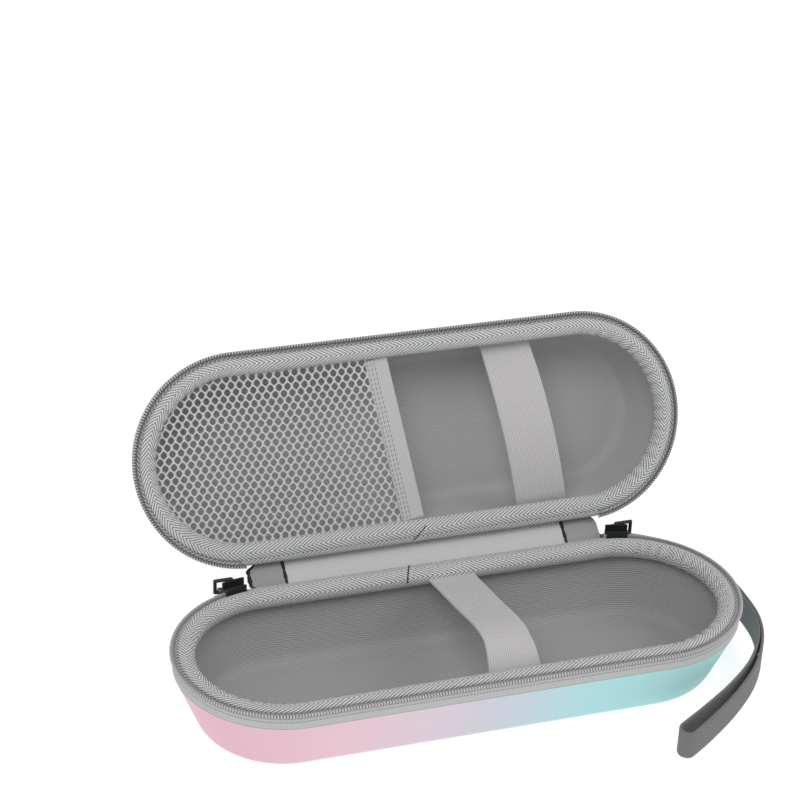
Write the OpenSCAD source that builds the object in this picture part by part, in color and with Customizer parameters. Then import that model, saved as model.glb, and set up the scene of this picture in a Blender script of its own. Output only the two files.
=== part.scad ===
// Zipped travel case for an electric toothbrush, standing open.
// Two moulded halves of the same outline are joined along their back edges by a
// fabric spine that folds on two lines. A zip runs round the ends and the front.
// X runs along the case, the hinge side is +Y, Z is up, and the origin is the
// centre of the flat underside of the lower half.

/* [Case] */
// Length of the zip line, end to end
case_l = 230; // [205:1:260]
// Width of the zip line, front to hinge side
case_w = 86; // [78:1:98]
// Depth of one half, from the zip line to its flat face
half_h = 34; // [31:1:42]
// Angle at which the lid stands open
open_angle = 115; // [70:1:150]

/* [Shells] */
// Thickness of the moulded foam laminate
shell_t = 3; // [2.4:0.1:3.6]
// Lean of the side walls from upright
wall_lean = 21.5; // [12:0.5:24]
// Outer radius where the wall turns into the flat face
foot_r = 9; // [6:0.5:11]
// Height of zip tape that shows below the zip line
tape_h = 7.4; // [5.6:0.1:8]
// Thickness of the zip tape
tape_t = 0.6; // [0.5:0.1:0.8]
// Drop from the zip line to the top edge of the laminate
rim_drop = 2; // [1.8:0.1:2.4]
// Thickness of the inner lining
lining_t = 0.7; // [0.5:0.1:1]

/* [Binding] */
// Distance from the zip line to the outer edge of the edge binding
bind_out = 2.8; // [2.6:0.1:3]
// Distance from the zip line to the innermost point of the binding
bind_in = 9.4; // [8.6:0.1:11]
// Depth of the binding below the zip line
bind_d = 7; // [6.4:0.1:8]

/* [Zip] */
// Radial width of one row of zip coil
coil_w = 1.7; // [1.5:0.1:1.8]
// Height of one row of zip coil
coil_h = 1.5; // [1.2:0.1:1.7]
// Gap from a coil row to the plane where the halves meet
coil_gap = 0.5; // [0.45:0.05:0.6]
// Angle round the end at which the lower zip starts
zip_start = 6; // [5:0.5:8]
// Angle round the end at which the lid's coil starts, clear of a parked slider
lid_coil_start = 20.5; // [20:0.5:26]

/* [Spine] */
// Width of the spine between its two fold lines
spine_w = 12.6; // [11.6:0.1:15]
// Distance from the start of a rounded end in to the end of the spine cover
spine_inset = 13; // [10.5:0.5:22]
// Thickness of the spine's cover and lining together
spine_t = 1.4; // [1.2:0.1:1.6]
// Distance from the zip line out to the fold lines
fold_out = 0.8; // [0.7:0.05:1]
// Reach of the fabric covers over the zip's ends, past the start of a rounded end
garage_past = 2.9; // [1:0.1:2.9]

/* [Straps and pocket] */
// Width of the elastic straps
strap_w = 19.5; // [14:0.5:22]
// Thickness of the elastic straps
strap_t = 1.2; // [0.8:0.1:1.6]
// Place of the lower strap's middle along the case
base_strap_x = 9.05; // [9.05:0.05:28]
// Place of the lid strap's middle along the case
lid_strap_x = 47.6; // [30:0.5:56]
// Place of the pocket band's middle along the case
band_x = -7.4; // [-30:0.1:-7.4]
// Width of the pocket band
band_w = 9.6; // [7:0.1:9.6]
// Slant of the lid strap and the pocket band
strap_slant = 8; // [0:1:10]
// Distance between the middles of the net's cells
net_pitch = 4.8; // [4.8:0.1:7]
// Width of the net's strands
net_strand = 0.9; // [0.7:0.1:1.2]

/* [Sliders and pulls] */
// Length of a slider along the zip
slider_l = 9; // [8:0.1:9.4]
// Angle round the end at which a slider is parked
slider_park = 12.2; // [12:0.1:13]
// Wire radius of the slider's bail
bail_r = 0.75; // [0.6:0.05:0.8]
// Reach of the bail from its pivot
bail_reach = 6.6; // [6.2:0.1:7.4]
// Half height of the bail, between wire middles
bail_h = 2.7; // [2.6:0.1:3]
// Angle of the resting bail from straight outwards
bail_rest = 78; // [60:1:80]
// Length of the rubber pull tab
pull_l = 25.5; // [18:0.5:25.5]
// Width of the rubber pull tab
pull_w = 8; // [6:0.5:8]
// Thickness of the rubber pull tab
pull_t = 3.6; // [3:0.1:3.8]

/* [Wrist strap] */
// Distance of the D ring from the start of the rounded end
dring_inset = 8; // [6:0.5:10]
// Distance from the zip line down to the D ring's middle
dring_drop = 15; // [14.5:0.5:16]
// Radius of the D ring, to the middle of its wire
dring_r = 6; // [5:0.1:6]
// Width of the wrist webbing
web_w = 12; // [9:0.5:13]
// Thickness of one layer of the wrist webbing
web_t = 1.3; // [1:0.1:1.4]

/* [Hidden] */
$fn = 64;
end_r = case_w / 2;
end_x = (case_l - case_w) / 2;
rim_z = half_h;
half_fold = open_angle / 2;
tape_o = 0.4;
glue = 0.03;
running = 0.05;
fold_gap = 0.2;

// Shell section. Each o value is a distance inwards from the zip line.
lip_z = rim_z - tape_h;
rim_o = tape_o + tape_t;
foot_o = tape_o + (lip_z - foot_r) * tan(wall_lean) + foot_r / cos(wall_lean);
foot_x = end_r - foot_o;
inner_o = tape_o + shell_t / cos(wall_lean);
lining_gap = shell_t + glue;
cavity_gap = lining_gap + lining_t;

// Fold lines of the spine, in the closed case
fold_y = end_r + fold_out;
fold_low = rim_z - spine_w / 2;
fold_high = rim_z + spine_w / 2;
facing_x = end_x + 3.6;
cover_t = 0.8;
spine_l = 2 * (end_x - spine_inset);
garage_x = spine_l / 2 + 0.3;
garage_l = end_x + garage_past - garage_x;

// Net and band lie flat inside the lid, this far behind the zip line
roll_d = 3.3;
roll_back = 1.1;
net_d = 3.9;
net_t = 0.7;
bind_roll = 2;
net_o = bind_in - bind_roll + sqrt(pow(bind_roll, 2) - pow(net_d - roll_d, 2)) + glue;
net_edge = 1.3;

// Slider, with its channel open round both coil rows
wing_t = 0.9;
wing_out = 0.9;
wing_in = 1.4;
outer_h = 3.1;
inner_h = rim_drop - 0.3;
slider_a = asin(slider_l / 2 / end_r);
lug_out = wing_out + wing_t + 2.6;
pivot_out = wing_out + wing_t + 0.35 + bail_r;
link_u = 4.4;
link_w = 2;
link_r = 1.7;
link_drop = 3.1;

// D ring, its tab and what hangs from it
dring_x = end_x - dring_inset;
dring_z = rim_z - dring_drop;
dring_wire = 1;
bar_y = end_r + 1.2;
arc_y = bar_y + 2;
ring_y = arc_y + dring_r;
tab_eye = 1.95;
tab_w = 7;
tab_pad = 4;
tab_pad_h = 9;
hem_half = dring_x - tab_pad - 1;
hem_h = spine_w / 2;
split_r = 3.7;
split_wire = 0.55;
split_x = dring_x + 1.8;
split_y = ring_y + 0.7;
eye_r = 2;
eye_wire = 0.6;
eye_x = split_x + split_r + 0.35;
eye_y = split_y + 1.4;
collar_x = eye_x + eye_r + 0.3;
collar_l = 7;
collar_y = eye_y;

// Plan of the wrist webbing, from the collar's eye to the end of its loop
WEB_PLAN = [
    [1.5, 0], [5, 0], [10, 0], [22, -1.3], [35, -8.3], [45, -20.3], [51.5, -34.3],
    [53.5, -48.3], [52.8, -62.3], [48.4, -74.3], [39, -87.3], [26, -98.8],
    [11.5, -108.8], [0, -115.8]
];
WEB = [for (p = WEB_PLAN) [collar_x + p[0], collar_y + p[1]]];
web_loop = 3.7;
web_end_z = 0.2;
web_end_y = WEB[len(WEB) - 1][1] - web_loop;
web_rise = (dring_z - web_w / 2 - web_end_z) / (collar_y - web_end_y);

// Placing

// Children drawn for the closed lower half, carried to the open lid
module on_lid() {
    fold(fold_low) fold(fold_high)
        translate([0, 0, 2 * rim_z]) mirror([0, 0, 1]) children();
}

// Children of the closed case turned open about a fold line at height z
module fold(z) {
    translate([0, fold_y, z]) rotate([-half_fold, 0, 0])
        translate([0, -fold_y, -z]) children();
}

module on_spine() { fold(fold_low) children(); }

// Side 1 is the right end, and -1 is its mirror image at the left end
module on_side(side) {
    if (side > 0) children(); else mirror([1, 0, 0]) children();
}

// Children drawn at the hinge side of the right end, turned round the end
module round_end(angle) {
    translate([end_x, 0, 0]) rotate([0, 0, -angle]) children();
}

// Sweeps

// A section, with its distance from the middle line as X, swept round the outline
module sweep_outline() {
    for (side = [-1, 1])
        translate([side * end_x, 0, 0]) rotate([0, 0, -90 * side])
            rotate_extrude(angle = 180) children();
    along_x(end_x) { children(); mirror([1, 0]) children(); }
}

// The same sweep, left open on the hinge side as far as an angle round each end
module sweep_zip(start) {
    for (side = [-1, 1]) on_side(side)
        translate([end_x, 0, 0]) rotate([0, 0, -90])
            rotate_extrude(angle = 180 - start) children();
    along_x(end_x) mirror([1, 0]) children();
}

// A section with Y as its X and Z as its Y, from -half to half along X
module along_x(half) {
    rotate([90, 0, 90]) translate([0, 0, -half]) linear_extrude(2 * half) children();
}

// Shell sections

// Filled section of a half, drawn in by a depth from its outer surface
module filled(depth, top = lip_z) {
    c = cos(wall_lean);
    s = sin(wall_lean);
    r = foot_r - depth;
    wall_top = end_r - tape_o - depth / c;
    union() {
        polygon([
            [0, depth], [foot_x, depth],
            [foot_x + r * c, foot_r - r * s],
            [wall_top, lip_z], [wall_top, top], [0, top]
        ]);
        translate([foot_x, foot_r]) circle(r);
    }
}

module shell_section() {
    difference() {
        filled(0);
        filled(shell_t, rim_z);
    }
    translate([end_r - inner_o, lip_z - 1])
        square([inner_o - rim_o, rim_z - rim_drop - lip_z + 1]);
}

module lining_section() {
    top = rim_z - bind_d - 0.2;
    intersection() {
        difference() {
            filled(lining_gap);
            filled(cavity_gap, rim_z);
        }
        square([end_r, top]);
    }
}

// The binding wraps the laminate's edge and rolls inwards
module binding_section() {
    roll = bind_roll;
    back = end_r - inner_o - glue;
    top = rim_z - rim_drop + glue;
    translate([end_r, rim_z]) union() {
        polygon([
            [-bind_out, -rim_drop + glue], [-bind_out, -0.9],
            [-bind_out - 0.8, -0.35], [-bind_in + roll * 1.9, -0.45],
            [-bind_in + 0.75 * roll, -1.38], [-bind_in, -roll_d],
            [-bind_in + roll_back, -bind_d + 0.4], [back - end_r, -bind_d],
            [back - end_r, top - rim_z]
        ]);
        translate([-bind_in + roll, -roll_d]) circle(roll);
    }
}

module tape_section(top = rim_drop + glue) {
    translate([end_r - rim_o, lip_z]) square([tape_t, tape_h - top]);
}

module coil_section() {
    translate([end_r - rim_o - 0.1, rim_z - coil_gap - coil_h]) square([coil_w, coil_h]);
}

// Light facing over the laminate's edge where there is no zip
module facing_section() {
    flange = 0.55;
    translate([end_r, rim_z]) {
        translate([-rim_o, -tape_h])
            square([tape_t, tape_h - rim_drop + glue + flange]);
        translate([-bind_out + glue, -rim_drop + glue])
            square([bind_out - tape_o - glue, flange]);
    }
}

// Sewn margin of the spine cover on the back wall, just below the fold line
module hem_section() {
    top = fold_low - spine_t / 2 - fold_gap;
    low = top - hem_h;
    polygon([
        [wall_y(top) + glue, top], [fold_y + spine_t / 2, top],
        [wall_y(low) + tape_t, low], [wall_y(low) + glue, low]
    ]);
}

// Outer face of the back wall at a height
function wall_y(z) = end_r - tape_o - (lip_z - z) * tan(wall_lean);

// Space inside a lined half
module cavity() { sweep_outline() filled(cavity_gap + glue, rim_z); }

// Point of a smooth curve through four points, between the second and third
function blend_point(a, b, c, d, t) =
    0.5 * (2 * b + (c - a) * t + (2 * a - 5 * b + 4 * c - d) * pow(t, 2)
        + (3 * b - a - 3 * c + d) * pow(t, 3));

// Point and normal of a smooth curve through a list of points
function curve_at(p, steps, i) =
    let (
        k = min(floor(i / steps), len(p) - 2),
        before = p[max(k - 1, 0)],
        after = p[min(k + 2, len(p) - 1)]
    )
    blend_point(before, p[k], p[k + 1], after, i / steps - k);

function curve_normal(p, steps, i) =
    let (
        last = (len(p) - 1) * steps,
        d = curve_at(p, steps, min(i + 1, last)) - curve_at(p, steps, max(i - 1, 0))
    )
    [-d[1], d[0]] / norm(d);

// Strap across a half, arched from wall to wall: rise is its height in the middle
module arched_strap(x, slant, low, rise) {
    r = (pow(end_r, 2) + pow(rise - low, 2)) / (2 * (rise - low));
    intersection() {
        cavity();
        translate([x, 0, 0]) rotate([0, 0, slant]) translate([-strap_w / 2, 0, 0])
            rotate([90, 0, 90]) linear_extrude(strap_w)
                translate([0, rise - r]) difference() {
                    circle(r);
                    circle(r - strap_t);
                }
        translate([-case_l, -case_w, low - 4]) cube([2 * case_l, 2 * case_w, rim_z]);
    }
}

strap_low = rim_z - 11.7;
lid_strap_rise = rim_z - 2.4;

// Middle line of the lower strap. Its ends follow the binding, and its middle the width.
function edge_point(side, inwards, up) =
    [side * (end_r - inwards * bind_in), rim_z + up * bind_d];
function mid_point(out, up) = [out * end_r, rim_z + up * bind_d];

BULGE = [
    edge_point(1, 0.617, -1.857), edge_point(1, 0.83, -1.286), edge_point(1, 1.106, -0.771),
    edge_point(1, 1.702, -0.286), mid_point(0.419, 0.171), mid_point(0.14, 0.657),
    mid_point(-0.14, 1), mid_point(-0.372, 1.114), mid_point(-0.558, 0.857),
    edge_point(-1, 1.426, 0.257), edge_point(-1, 1.128, -0.429),
    edge_point(-1, 0.957, -1.086), edge_point(-1, 0.596, -1.914)
];
bulge_steps = 4;

function bulge_side(sign, i) =
    curve_at(BULGE, bulge_steps, i) + sign * strap_t / 2 * curve_normal(BULGE, bulge_steps, i);

// Lower half

module base_shell() { color("lightblue") sweep_outline() shell_section(); }

module base_lining() { color("gray") sweep_outline() lining_section(); }

module base_binding() { color("silver") sweep_outline() binding_section(); }

module base_zip_tape() { color("lightgray") sweep_zip(zip_start) tape_section(); }

module base_zip_coil() { color("dimgray") sweep_zip(zip_start) coil_section(); }

module base_hinge_facing() { color("gainsboro") along_x(facing_x) facing_section(); }

// The strap keeps the bulge of the handle it holds
module base_strap() {
    last = (len(BULGE) - 1) * bulge_steps;
    inner = cavity_gap + glue;
    color("darkgray") translate([base_strap_x - strap_w / 2, 0, 0])
        rotate([90, 0, 90]) linear_extrude(strap_w) intersection() {
            polygon(concat(
                [for (i = [0:last]) bulge_side(1, i)],
                [for (i = [last:-1:0]) bulge_side(-1, i)]
            ));
            union() {
                filled(inner, rim_z);
                mirror([1, 0]) filled(inner, rim_z);
                translate([-0.78 * end_r, rim_z - bind_d]) square([1.56 * end_r, half_h]);
            }
        }
}

module base_spine_hem() { color("thistle") along_x(hem_half) hem_section(); }

// Webbing tab sewn to the back wall, with an eye round the D ring's bar
module ring_tab() {
    pad = 0.7;
    low = dring_z - tab_pad_h / 2;
    high = dring_z + tab_pad_h / 2;
    color("dimgray") difference() {
        union() {
            translate([dring_x, bar_y, dring_z - tab_w / 2]) cylinder(r = tab_eye, h = tab_w);
            translate([dring_x - 0.8, foot_x, dring_z - tab_w / 2])
                cube([1.6, bar_y - foot_x, tab_w]);
            translate([dring_x, 0, 0]) along_x(tab_pad) polygon([
                [wall_y(low) - pad, low], [wall_y(low) + pad, low],
                [wall_y(high) + pad, high], [wall_y(high) - pad, high]
            ]);
        }
        translate([dring_x, bar_y, 0]) cylinder(r = dring_wire + 0.15, h = 3 * dring_z);
        translate([dring_x, 0, 0]) along_x(tab_w) polygon([
            [0, 0], [wall_y(0) + glue, 0], [wall_y(lip_z) + glue, lip_z], [0, lip_z]
        ]);
    }
}

module d_ring() {
    bend = arc_y - bar_y;
    straight = dring_r - bend;
    color("black") translate([dring_x, 0, dring_z]) rotate([90, 0, 90]) {
        translate([arc_y, 0, 0]) rotate([0, 0, -90])
            rotate_extrude(angle = 180) translate([dring_r, 0]) circle(dring_wire);
        for (side = [0, 1]) mirror([0, side, 0]) translate([arc_y, straight, 0])
            rotate([0, 0, 90])
                rotate_extrude(angle = 90) translate([bend, 0]) circle(dring_wire);
        translate([bar_y, -straight, 0]) rotate([-90, 0, 0])
            cylinder(r = dring_wire, h = 2 * straight);
    }
}

// Spine, between the fold lines

module spine_cover() {
    color("thistle") on_spine() along_x(spine_l / 2) {
        translate([fold_y + spine_t / 2 - cover_t, fold_low]) square([cover_t, spine_w]);
        for (z = [fold_low, fold_high]) translate([fold_y, z]) circle(spine_t / 2);
    }
}

module spine_lining() {
    inset = spine_t / 2 + glue;
    color("gainsboro") on_spine() along_x(spine_l / 2)
        translate([fold_y - spine_t / 2, fold_low + inset])
            square([spine_t - cover_t - glue, spine_w - 2 * inset]);
}

// Outer tape at the end of the zip, in line with the spine
module zip_end(side) {
    color("lightgray") on_spine() on_side(side)
        translate([garage_x, 0, 0]) rotate([90, 0, 90]) linear_extrude(garage_l) {
            translate([fold_y - 0.1, fold_low]) square([spine_t / 2 + 0.1, spine_w]);
            translate([fold_y + spine_t / 2 - 0.1, rim_z - coil_h])
                square([1, 2 * coil_h]);
        }
}

// Dark fabric cover on the inner side of the zip's end, round at its far end
module zip_garage(side) {
    r = spine_w / 2 - 0.9;
    color("gray") on_spine() on_side(side)
        translate([0, fold_y - 0.1 - glue, rim_z]) rotate([90, 0, 0])
            linear_extrude(spine_t / 2 + 0.05) {
                translate([garage_x, -r]) square([garage_l - r, 2 * r]);
                translate([garage_x + garage_l - r, 0]) circle(r);
            }
}

// Lid, the lower half's mould turned over

module lid_shell() { color("lightblue") on_lid() sweep_outline() shell_section(); }

module lid_lining() { color("gray") on_lid() sweep_outline() lining_section(); }

module lid_binding() { color("silver") on_lid() sweep_outline() binding_section(); }

// The tape is cut back near the hinge, so that a parked slider has room
module lid_zip_tape() {
    room = outer_h + 0.3;
    color("lightgray") on_lid() {
        sweep_zip(lid_coil_start) tape_section();
        sweep_zip(zip_start) tape_section(room);
    }
}

module lid_zip_coil() {
    color("dimgray") on_lid() sweep_zip(lid_coil_start) coil_section();
}

module lid_hinge_facing() {
    color("gainsboro") on_lid() along_x(facing_x) facing_section();
}

module lid_strap() {
    color("darkgray") on_lid()
        arched_strap(lid_strap_x, -strap_slant, strap_low, lid_strap_rise);
}

module lid_spine_hem() { color("thistle") on_lid() along_x(hem_half) hem_section(); }

// Outline of the opening inside the binding, drawn in by an inset
module opening_outline(inset) {
    r = end_r - net_o - inset;
    square([2 * end_x, 2 * r], center = true);
    for (side = [-1, 1]) translate([side * end_x, 0]) circle(r);
}

// Strip across the opening, along the slanted band
module band_strip(left, right) {
    translate([band_x, 0]) rotate(-strap_slant)
        translate([left, -case_w]) square([right - left, 2 * case_w]);
}

// True where a net cell lies wholly inside the net's solid edge
function in_net(x, y, r) =
    let (
        room = end_r - net_o - net_edge - r,
        band = (x - band_x) * cos(strap_slant) - y * sin(strap_slant)
    )
    band < -band_w / 2 - net_edge - r && abs(y) < room
        && (x > -end_x || norm([x + end_x, y]) < room);

module pocket_net() {
    cell_r = (net_pitch - net_strand) / sqrt(3);
    row = net_pitch * sqrt(3) / 2;
    rows = ceil(case_w / row / 2);
    cols = ceil(case_l / net_pitch);
    color("lightgray") on_lid() translate([0, 0, rim_z - net_d - net_t])
        linear_extrude(net_t) difference() {
            intersection() {
                opening_outline(0);
                band_strip(-case_l, -band_w / 2 - glue);
            }
            for (j = [-rows:rows], i = [-cols:0]) {
                x = band_x + (i + abs(j % 2) / 2) * net_pitch;
                y = j * row;
                if (in_net(x, y, cell_r)) translate([x, y]) rotate(30) circle(cell_r, $fn = 6);
            }
        }
}

// Elastic band along the mouth of the pocket
module pocket_band() {
    extra = 0.4;
    color("darkgray") on_lid() translate([0, 0, rim_z - net_d - net_t - extra])
        linear_extrude(net_t + 2 * extra) intersection() {
            opening_outline(bind_in + glue - net_o);
            band_strip(-band_w / 2, band_w / 2);
        }
}

// Sliders

// Curved plate of a slider, between two distances out from the zip line
module slider_plate(from, to, h) {
    rotate([0, 0, 90 - slider_a]) rotate_extrude(angle = 2 * slider_a)
        translate([end_r + from, rim_z - h]) square([to - from, 2 * h]);
}

module slider(side) {
    neck_h = 2 * (coil_gap - 0.15);
    neck_a = 2.2;
    color("black") on_side(side) round_end(slider_park) difference() {
        union() {
            slider_plate(wing_out, wing_out + wing_t, outer_h);
            slider_plate(-wing_in - wing_t, -wing_in, inner_h);
            rotate([0, 0, 90 - slider_a]) rotate_extrude(angle = neck_a)
                translate([end_r - wing_in - wing_t / 2, rim_z - neck_h / 2])
                    square([wing_in + wing_out + wing_t, neck_h]);
            translate([-1.7, end_r + wing_out + wing_t / 2, rim_z - 1.5])
                cube([3.4, lug_out - wing_out - wing_t / 2, 3]);
        }
        translate([0, end_r + pivot_out, 0])
            cylinder(r = bail_r + running, h = 2 * rim_z);
    }
}

// Children drawn with the bail's pivot at the origin and its reach along X
module at_pivot(side) {
    on_side(side) round_end(slider_park) translate([0, end_r + pivot_out, rim_z])
        rotate([0, 0, 90 - bail_rest]) children();
}

module bail(side) {
    color("black") at_pivot(side) {
        for (u = [0, bail_reach]) translate([u, 0, -bail_h]) {
            cylinder(r = bail_r, h = 2 * bail_h);
            sphere(bail_r);
            translate([0, 0, 2 * bail_h]) sphere(bail_r);
        }
        for (z = [-bail_h, bail_h]) translate([0, 0, z]) rotate([0, 90, 0])
            cylinder(r = bail_r, h = bail_reach);
    }
}

// Metal link of the pull: an eye on the bail's lower wire, and a stem
module pull_link(side) {
    color("dimgray") at_pivot(side) translate([link_u - link_w / 2, 0, -bail_h])
        difference() {
            union() {
                rotate([0, 90, 0]) cylinder(r = link_r, h = link_w);
                translate([0, -1.4, -link_drop]) cube([link_w, 2.8, link_drop]);
            }
            translate([-1, 0, 0]) rotate([0, 90, 0])
                cylinder(r = bail_r + running, h = link_w + 2);
        }
}

module pull_tab(side) {
    color("darkslategray") at_pivot(side)
        translate([link_u, 0, -bail_h - link_drop - glue]) rotate([-90, 0, 90])
            linear_extrude(pull_t, center = true) {
                r = pull_w / 2;
                translate([0, r]) circle(r);
                translate([0, pull_l - r]) circle(r);
                translate([-r, r]) square([pull_w, pull_l - pull_w]);
                translate([-r * 0.6, 0]) square([r * 1.2, r]);
            }
}

// Wrist strap

module split_ring() {
    color("gainsboro") translate([split_x, split_y, dring_z])
        rotate_extrude() translate([split_r, 0]) circle(split_wire);
}

// Metal clamp on the ends of the webbing, with an eye on the split ring
module strap_collar() {
    wall = 1;
    slot = 0.12;
    color("black") translate([collar_x, collar_y, dring_z]) {
        translate([eye_x - collar_x, 0, 0]) rotate([90, 0, 0])
            rotate_extrude() translate([eye_r, 0]) circle(eye_wire);
        difference() {
            translate([0, -web_t - wall, -web_w / 2 - wall])
                cube([collar_l, 2 * (web_t + wall), web_w + 2 * wall]);
            translate([1.2, -web_t - slot, -web_w / 2 - 2 * slot])
                cube([collar_l, 2 * (web_t + slot), web_w + 4 * slot]);
        }
    }
}

web_steps = 4;
web_last = (len(WEB) - 1) * web_steps;
web_open = round(web_last * 0.65);

function web_at(i) = curve_at(WEB, web_steps, i);
function web_normal(i) = curve_normal(WEB, web_steps, i);

// Half the thickness of the doubled webbing: the loop opens towards its end
function web_half(i) =
    let (open = max(0, (i - web_open + 1) / (web_last - web_open + 1)))
    web_t + (web_loop - web_t) * pow(open, 2) * (3 - 2 * open);

// One side of the doubled webbing's plan, drawn in by an inset
function web_side(sign, inset, first, last) =
    [for (i = [first:last]) web_at(i) + sign * web_normal(i) * (web_half(i) - inset)];

// Round end of that plan
function web_cap(inset) =
    let (n = web_normal(web_last), d = [n[1], -n[0]])
    [for (a = [15:15:165])
        web_at(web_last) + (web_loop - inset) * (cos(a) * n + sin(a) * d)];

module web_plan(inset, first) {
    polygon(concat(
        web_side(1, inset, first, web_last),
        web_cap(inset),
        [for (i = [web_last:-1:first]) web_side(-1, inset, i, i)[0]]
    ));
}

module wrist_strap() {
    color("dimgray") intersection() {
        linear_extrude(rim_z) difference() {
            web_plan(0, 0);
            web_plan(web_t, web_open);
        }
        translate([0, web_end_y, web_end_z]) rotate([atan(web_rise), 0, 0])
            translate([0, -case_w, 0]) cube([case_l, 3 * case_w, web_w]);
    }
}

base_shell();
base_lining();
base_binding();
base_zip_tape();
base_zip_coil();
base_hinge_facing();
base_strap();
base_spine_hem();
ring_tab();
d_ring();
spine_cover();
spine_lining();
zip_end(-1);  // zip_end_left
zip_end(1);  // zip_end_right
zip_garage(-1);  // zip_garage_left
zip_garage(1);  // zip_garage_right
lid_shell();
lid_lining();
lid_binding();
lid_zip_tape();
lid_zip_coil();
lid_hinge_facing();
lid_strap();
lid_spine_hem();
pocket_net();
pocket_band();
slider(-1);  // slider_left
slider(1);  // slider_right
bail(-1);  // bail_left
bail(1);  // bail_right
pull_link(-1);  // pull_link_left
pull_link(1);  // pull_link_right
pull_tab(-1);  // pull_tab_left
pull_tab(1);  // pull_tab_right
split_ring();
strap_collar();
wrist_strap();
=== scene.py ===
"""Looks of the toothbrush travel case: fabrics, zip, straps, net, light and camera.

Lengths are in millimetres until a piece is placed. Every piece is drawn as part of the
closed case, like the solids, and then carried to where its body stands open.
"""
import bmesh
import bpy
import numpy as np
from mathutils import Matrix


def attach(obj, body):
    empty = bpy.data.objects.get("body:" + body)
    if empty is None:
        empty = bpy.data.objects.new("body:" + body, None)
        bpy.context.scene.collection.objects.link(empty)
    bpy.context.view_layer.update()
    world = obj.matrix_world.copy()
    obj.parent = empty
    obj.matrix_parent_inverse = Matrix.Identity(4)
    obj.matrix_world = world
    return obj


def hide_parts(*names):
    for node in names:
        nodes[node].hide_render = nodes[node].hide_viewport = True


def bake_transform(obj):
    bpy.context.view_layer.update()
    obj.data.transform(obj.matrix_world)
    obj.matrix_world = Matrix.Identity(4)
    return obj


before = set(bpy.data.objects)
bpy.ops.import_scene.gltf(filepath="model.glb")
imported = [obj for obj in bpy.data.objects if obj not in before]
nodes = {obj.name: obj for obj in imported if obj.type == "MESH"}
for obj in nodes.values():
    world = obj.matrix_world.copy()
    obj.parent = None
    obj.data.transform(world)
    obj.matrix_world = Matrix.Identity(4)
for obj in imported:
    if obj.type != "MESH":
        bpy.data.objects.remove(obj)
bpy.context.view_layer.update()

MM = 0.001

# Outline from above: two straight sides, each BACK long, and two half circles.
END_R = 43.0
END_X = 72.0
CASE_L = 2 * (END_X + END_R)
BACK = 2 * END_X
ROUND = np.pi * END_R
TOTAL = 2 * (BACK + ROUND)

# One half: its rim, the outer tape of the zip below it, and the leaning wall and its foot.
RIM = 34.0
TAPE_H = 7.4
LIP = RIM - TAPE_H
WALL_IN = 0.4
WALL_LEAN = np.radians(21.5)
FOOT_R = 9.0

# The spine and its two fold lines. In the open case the lid has turned OPEN_HALF at each.
OPEN_HALF = np.radians(57.5)
FOLD_Y = 43.8
FOLD_LOW = 27.7
FOLD_HIGH = 40.3
SPINE_L = 118.0
SPINE_SHIFT = 1.2

# Where the zip starts: angles round the two ends, from the hinge side.
ZIP_RIGHT = np.radians(6.0)
ZIP_LEFT = {"base": np.radians(6.0), "lid": np.radians(3.0)}


# Placing

def turned(p, z):
    """Turns points about the fold line at height z, by half the angle the lid stands open."""
    y = p[..., 1] - FOLD_Y
    h = p[..., 2] - z
    c = np.cos(OPEN_HALF)
    s = np.sin(OPEN_HALF)
    return np.stack([p[..., 0], FOLD_Y + y * c + h * s, z - y * s + h * c], axis=-1)


def place(p, body):
    """Carries points of the closed case to where the body stands open, in metres.

    The lid's pieces are drawn as the lower half's are, and mirrored up before they turn.
    """
    if body == "lid":
        p = turned(p * [1, 1, -1] + [0, 0, 2 * RIM], FOLD_HIGH)
    if body in ("lid", "spine"):
        p = turned(p, FOLD_LOW)
    return p * MM


def outline(s):
    """Middle-line place and outward direction at a distance s along the case's outline.

    s starts at the left end of the hinge side and runs along the back, the right end,
    the front and the left end.
    """
    s = np.mod(s, TOTAL)
    right = np.clip((s - BACK) / END_R, 0, np.pi)
    left = np.clip((s - 2 * BACK - ROUND) / END_R, 0, np.pi)
    turn = right + left
    x = -END_X + np.clip(s, 0, BACK) - np.clip(s - BACK - ROUND, 0, BACK)
    return x, np.sin(turn), np.cos(turn)


def sweep(s, profile):
    """Grid of points: a profile of (inward distance, height) carried round the outline."""
    x, nx, ny = outline(np.asarray(s, float))
    inward, height = np.asarray(profile, float).T
    r = END_R - inward
    px = x[:, None] + nx[:, None] * r
    py = ny[:, None] * r
    pz = np.broadcast_to(height, px.shape)
    return np.stack([px, py, pz], axis=-1)


def curve(points, count, closed=False):
    """A smooth curve through the points: a Catmull-Rom cubic between each two."""
    p = np.asarray(points, float)
    k = len(p)
    last = k if closed else k - 1
    t = np.linspace(0, last, count, endpoint=not closed)
    i = np.minimum(np.floor(t).astype(int), last - 1)
    f = (t - i)[:, None]

    def pick(q):
        return p[q % k] if closed else p[np.clip(q, 0, k - 1)]

    a, b, c, d = pick(i - 1), pick(i), pick(i + 1), pick(i + 2)
    return 0.5 * (2 * b + (c - a) * f + (2 * a - 5 * b + 4 * c - d) * f ** 2
                  + (3 * b - a - 3 * c + d) * f ** 3)


def lengths(path, closed=False):
    """Distance along a path at each of its points, with the full length last if closed."""
    p = np.vstack([path, path[:1]]) if closed else np.asarray(path)
    step = np.linalg.norm(np.diff(p, axis=0), axis=1)
    return np.concatenate([[0], np.cumsum(step)])


def directions(path):
    """Unit direction of a path at each of its points."""
    along = np.gradient(path, axis=0)
    along /= np.linalg.norm(along, axis=1)[:, None]
    return along


# Meshes

SEAM_GAP = 2e-6
LEAST_EDGE = 1e-7


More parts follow.
